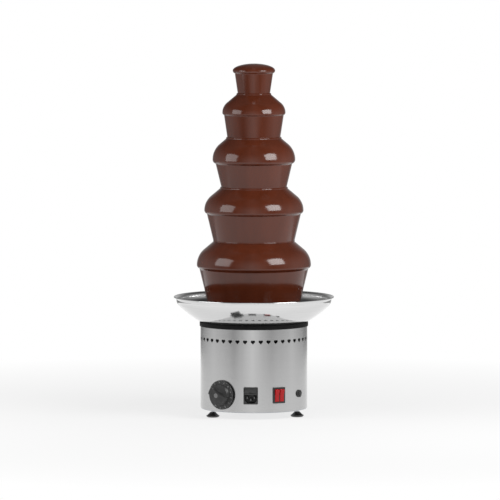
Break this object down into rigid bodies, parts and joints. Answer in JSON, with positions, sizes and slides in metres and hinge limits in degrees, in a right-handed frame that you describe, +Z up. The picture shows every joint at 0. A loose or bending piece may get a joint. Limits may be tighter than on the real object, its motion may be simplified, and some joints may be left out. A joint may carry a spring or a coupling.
{
  "type": "chocolate fountain",
  "caption": "Buffet chocolate fountain: a heated drum base with a bowl and controls, and a tiered tower coated in flowing chocolate that an auger lifts.",
  "frame": {"origin": "on the table, under the drum's axis", "axes": "+Z up along the tower, -Y to the front where the controls are, +X to the right"},
  "size_m": [0.312, 0.312, 0.6855],
  "materials": {
    "mirror_steel": "mirror polished stainless steel",
    "food_steel": "satin stainless steel",
    "zinc_steel": "zinc plated",
    "motor_alloy": "die cast",
    "bearing_brass": "turned",
    "heater_case": "heat proof coating",
    "black_rubber": "satin",
    "foot_plastic": "glossy",
    "black_plastic": "satin moulded",
    "grey_plastic": "satin",
    "red_lens": "translucent red",
    "fuse_glass": "clear",
    "chocolate": "flowing dark chocolate"
  },
  "bodies": {
    "base": {"housing_drum": "mirror_steel", "base_plate": "zinc_steel", "tie_rods": "zinc_steel", "tie_nuts": "zinc_steel", "foot_nuts": "zinc_steel", "trim_ring": "black_rubber", "bowl": "mirror_steel", "locating_pegs": "food_steel", "shaft_bush": "bearing_brass", "bush_nut": "zinc_steel", "shaft_seal": "black_rubber", "heater_ring": "heater_case", "heater_clamp": "zinc_steel", "motor_plate": "zinc_steel", "gearbox": "motor_alloy", "motor_can": "motor_alloy", "motor_screws": "zinc_steel", "thermostat_body": "zinc_steel", "sensor_bulb": "bearing_brass", "switch_body": "black_plastic", "inlet_body": "black_plastic", "inlet_pins": "zinc_steel", "reset_body": "black_plastic", "chocolate_pool": "chocolate"},
    "drive": {"drive_shaft": "food_steel", "drive_pin": "zinc_steel", "auger_shaft": "food_steel", "auger_flight": "food_steel"},
    "tower": {"tower_tube": "food_steel", "tower_foot": "food_steel", "tier_pins": "zinc_steel", "tier_two_dish": "food_steel", "tier_three_dish": "food_steel", "tier_four_dish": "food_steel", "tier_five_dish": "food_steel", "chocolate_tier_two": "chocolate", "chocolate_tier_three": "chocolate", "chocolate_tier_four": "chocolate", "chocolate_tier_five": "chocolate"},
    "crown": {"crown_cup": "food_steel", "chocolate_crown": "chocolate"},
    "knob": {"thermostat_knob": "black_plastic", "thermostat_spindle": "zinc_steel", "knob_cap": "grey_plastic"},
    "left_rocker": {"rocker_left": "red_lens"},
    "right_rocker": {"rocker_right": "red_lens"},
    "overload_button": {"reset_button": "black_plastic"},
    "drawer": {"fuse_drawer": "black_plastic", "fuse_link": "fuse_glass"},
    "foot_left": {"foot_left_pad": "foot_plastic", "foot_left_stud": "zinc_steel"},
    "foot_right": {"foot_right_pad": "foot_plastic", "foot_right_stud": "zinc_steel"},
    "foot_rear": {"foot_rear_pad": "foot_plastic", "foot_rear_stud": "zinc_steel"}
  },
  "joints": [
    {"name": "auger_spin", "type": "hinge", "parent": "base", "child": "drive", "pos_m": [0, 0, 0.2], "axis": [0, 0, 1], "continuous": true},
    {"name": "tower_lift", "type": "slide", "parent": "base", "child": "tower", "axis": [0, 0, 1], "range_m": [0, 0.48]},
    {"name": "crown_lift", "type": "slide", "parent": "tower", "child": "crown", "axis": [0, 0, 1], "range_m": [0, 0.06]},
    {"name": "knob_turn", "type": "hinge", "parent": "base", "child": "knob", "pos_m": [-0.05664, -0.08722, 0.047], "axis": [-0.5446, -0.8387, 0], "range_deg": [-270, 0]},
    {"name": "left_rocker_tilt", "type": "hinge", "parent": "base", "child": "left_rocker", "pos_m": [0.04942, -0.09234, 0.047], "axis": [0.8572, 0.515, 0], "range_deg": [-18, 0]},
    {"name": "right_rocker_tilt", "type": "hinge", "parent": "base", "child": "right_rocker", "pos_m": [0.05833, -0.08698, 0.047], "axis": [0.8572, 0.515, 0], "range_deg": [-18, 0]},
    {"name": "overload_press", "type": "slide", "parent": "base", "child": "overload_button", "axis": [-0.866, 0.5, 0], "range_m": [0, 0.0025], "stiffness_N_per_m": 400, "springref_m": -0.002},
    {"name": "drawer_pull", "type": "slide", "parent": "base", "child": "drawer", "axis": [0, -1, 0], "range_m": [0, 0.018]},
    {"name": "foot_left_level", "type": "slide", "parent": "base", "child": "foot_left", "axis": [0, 0, -1], "range_m": [0, 0.006]},
    {"name": "foot_right_level", "type": "slide", "parent": "base", "child": "foot_right", "axis": [0, 0, -1], "range_m": [0, 0.006]},
    {"name": "foot_rear_level", "type": "slide", "parent": "base", "child": "foot_rear", "axis": [0, 0, -1], "range_m": [0, 0.006]}
  ]
}
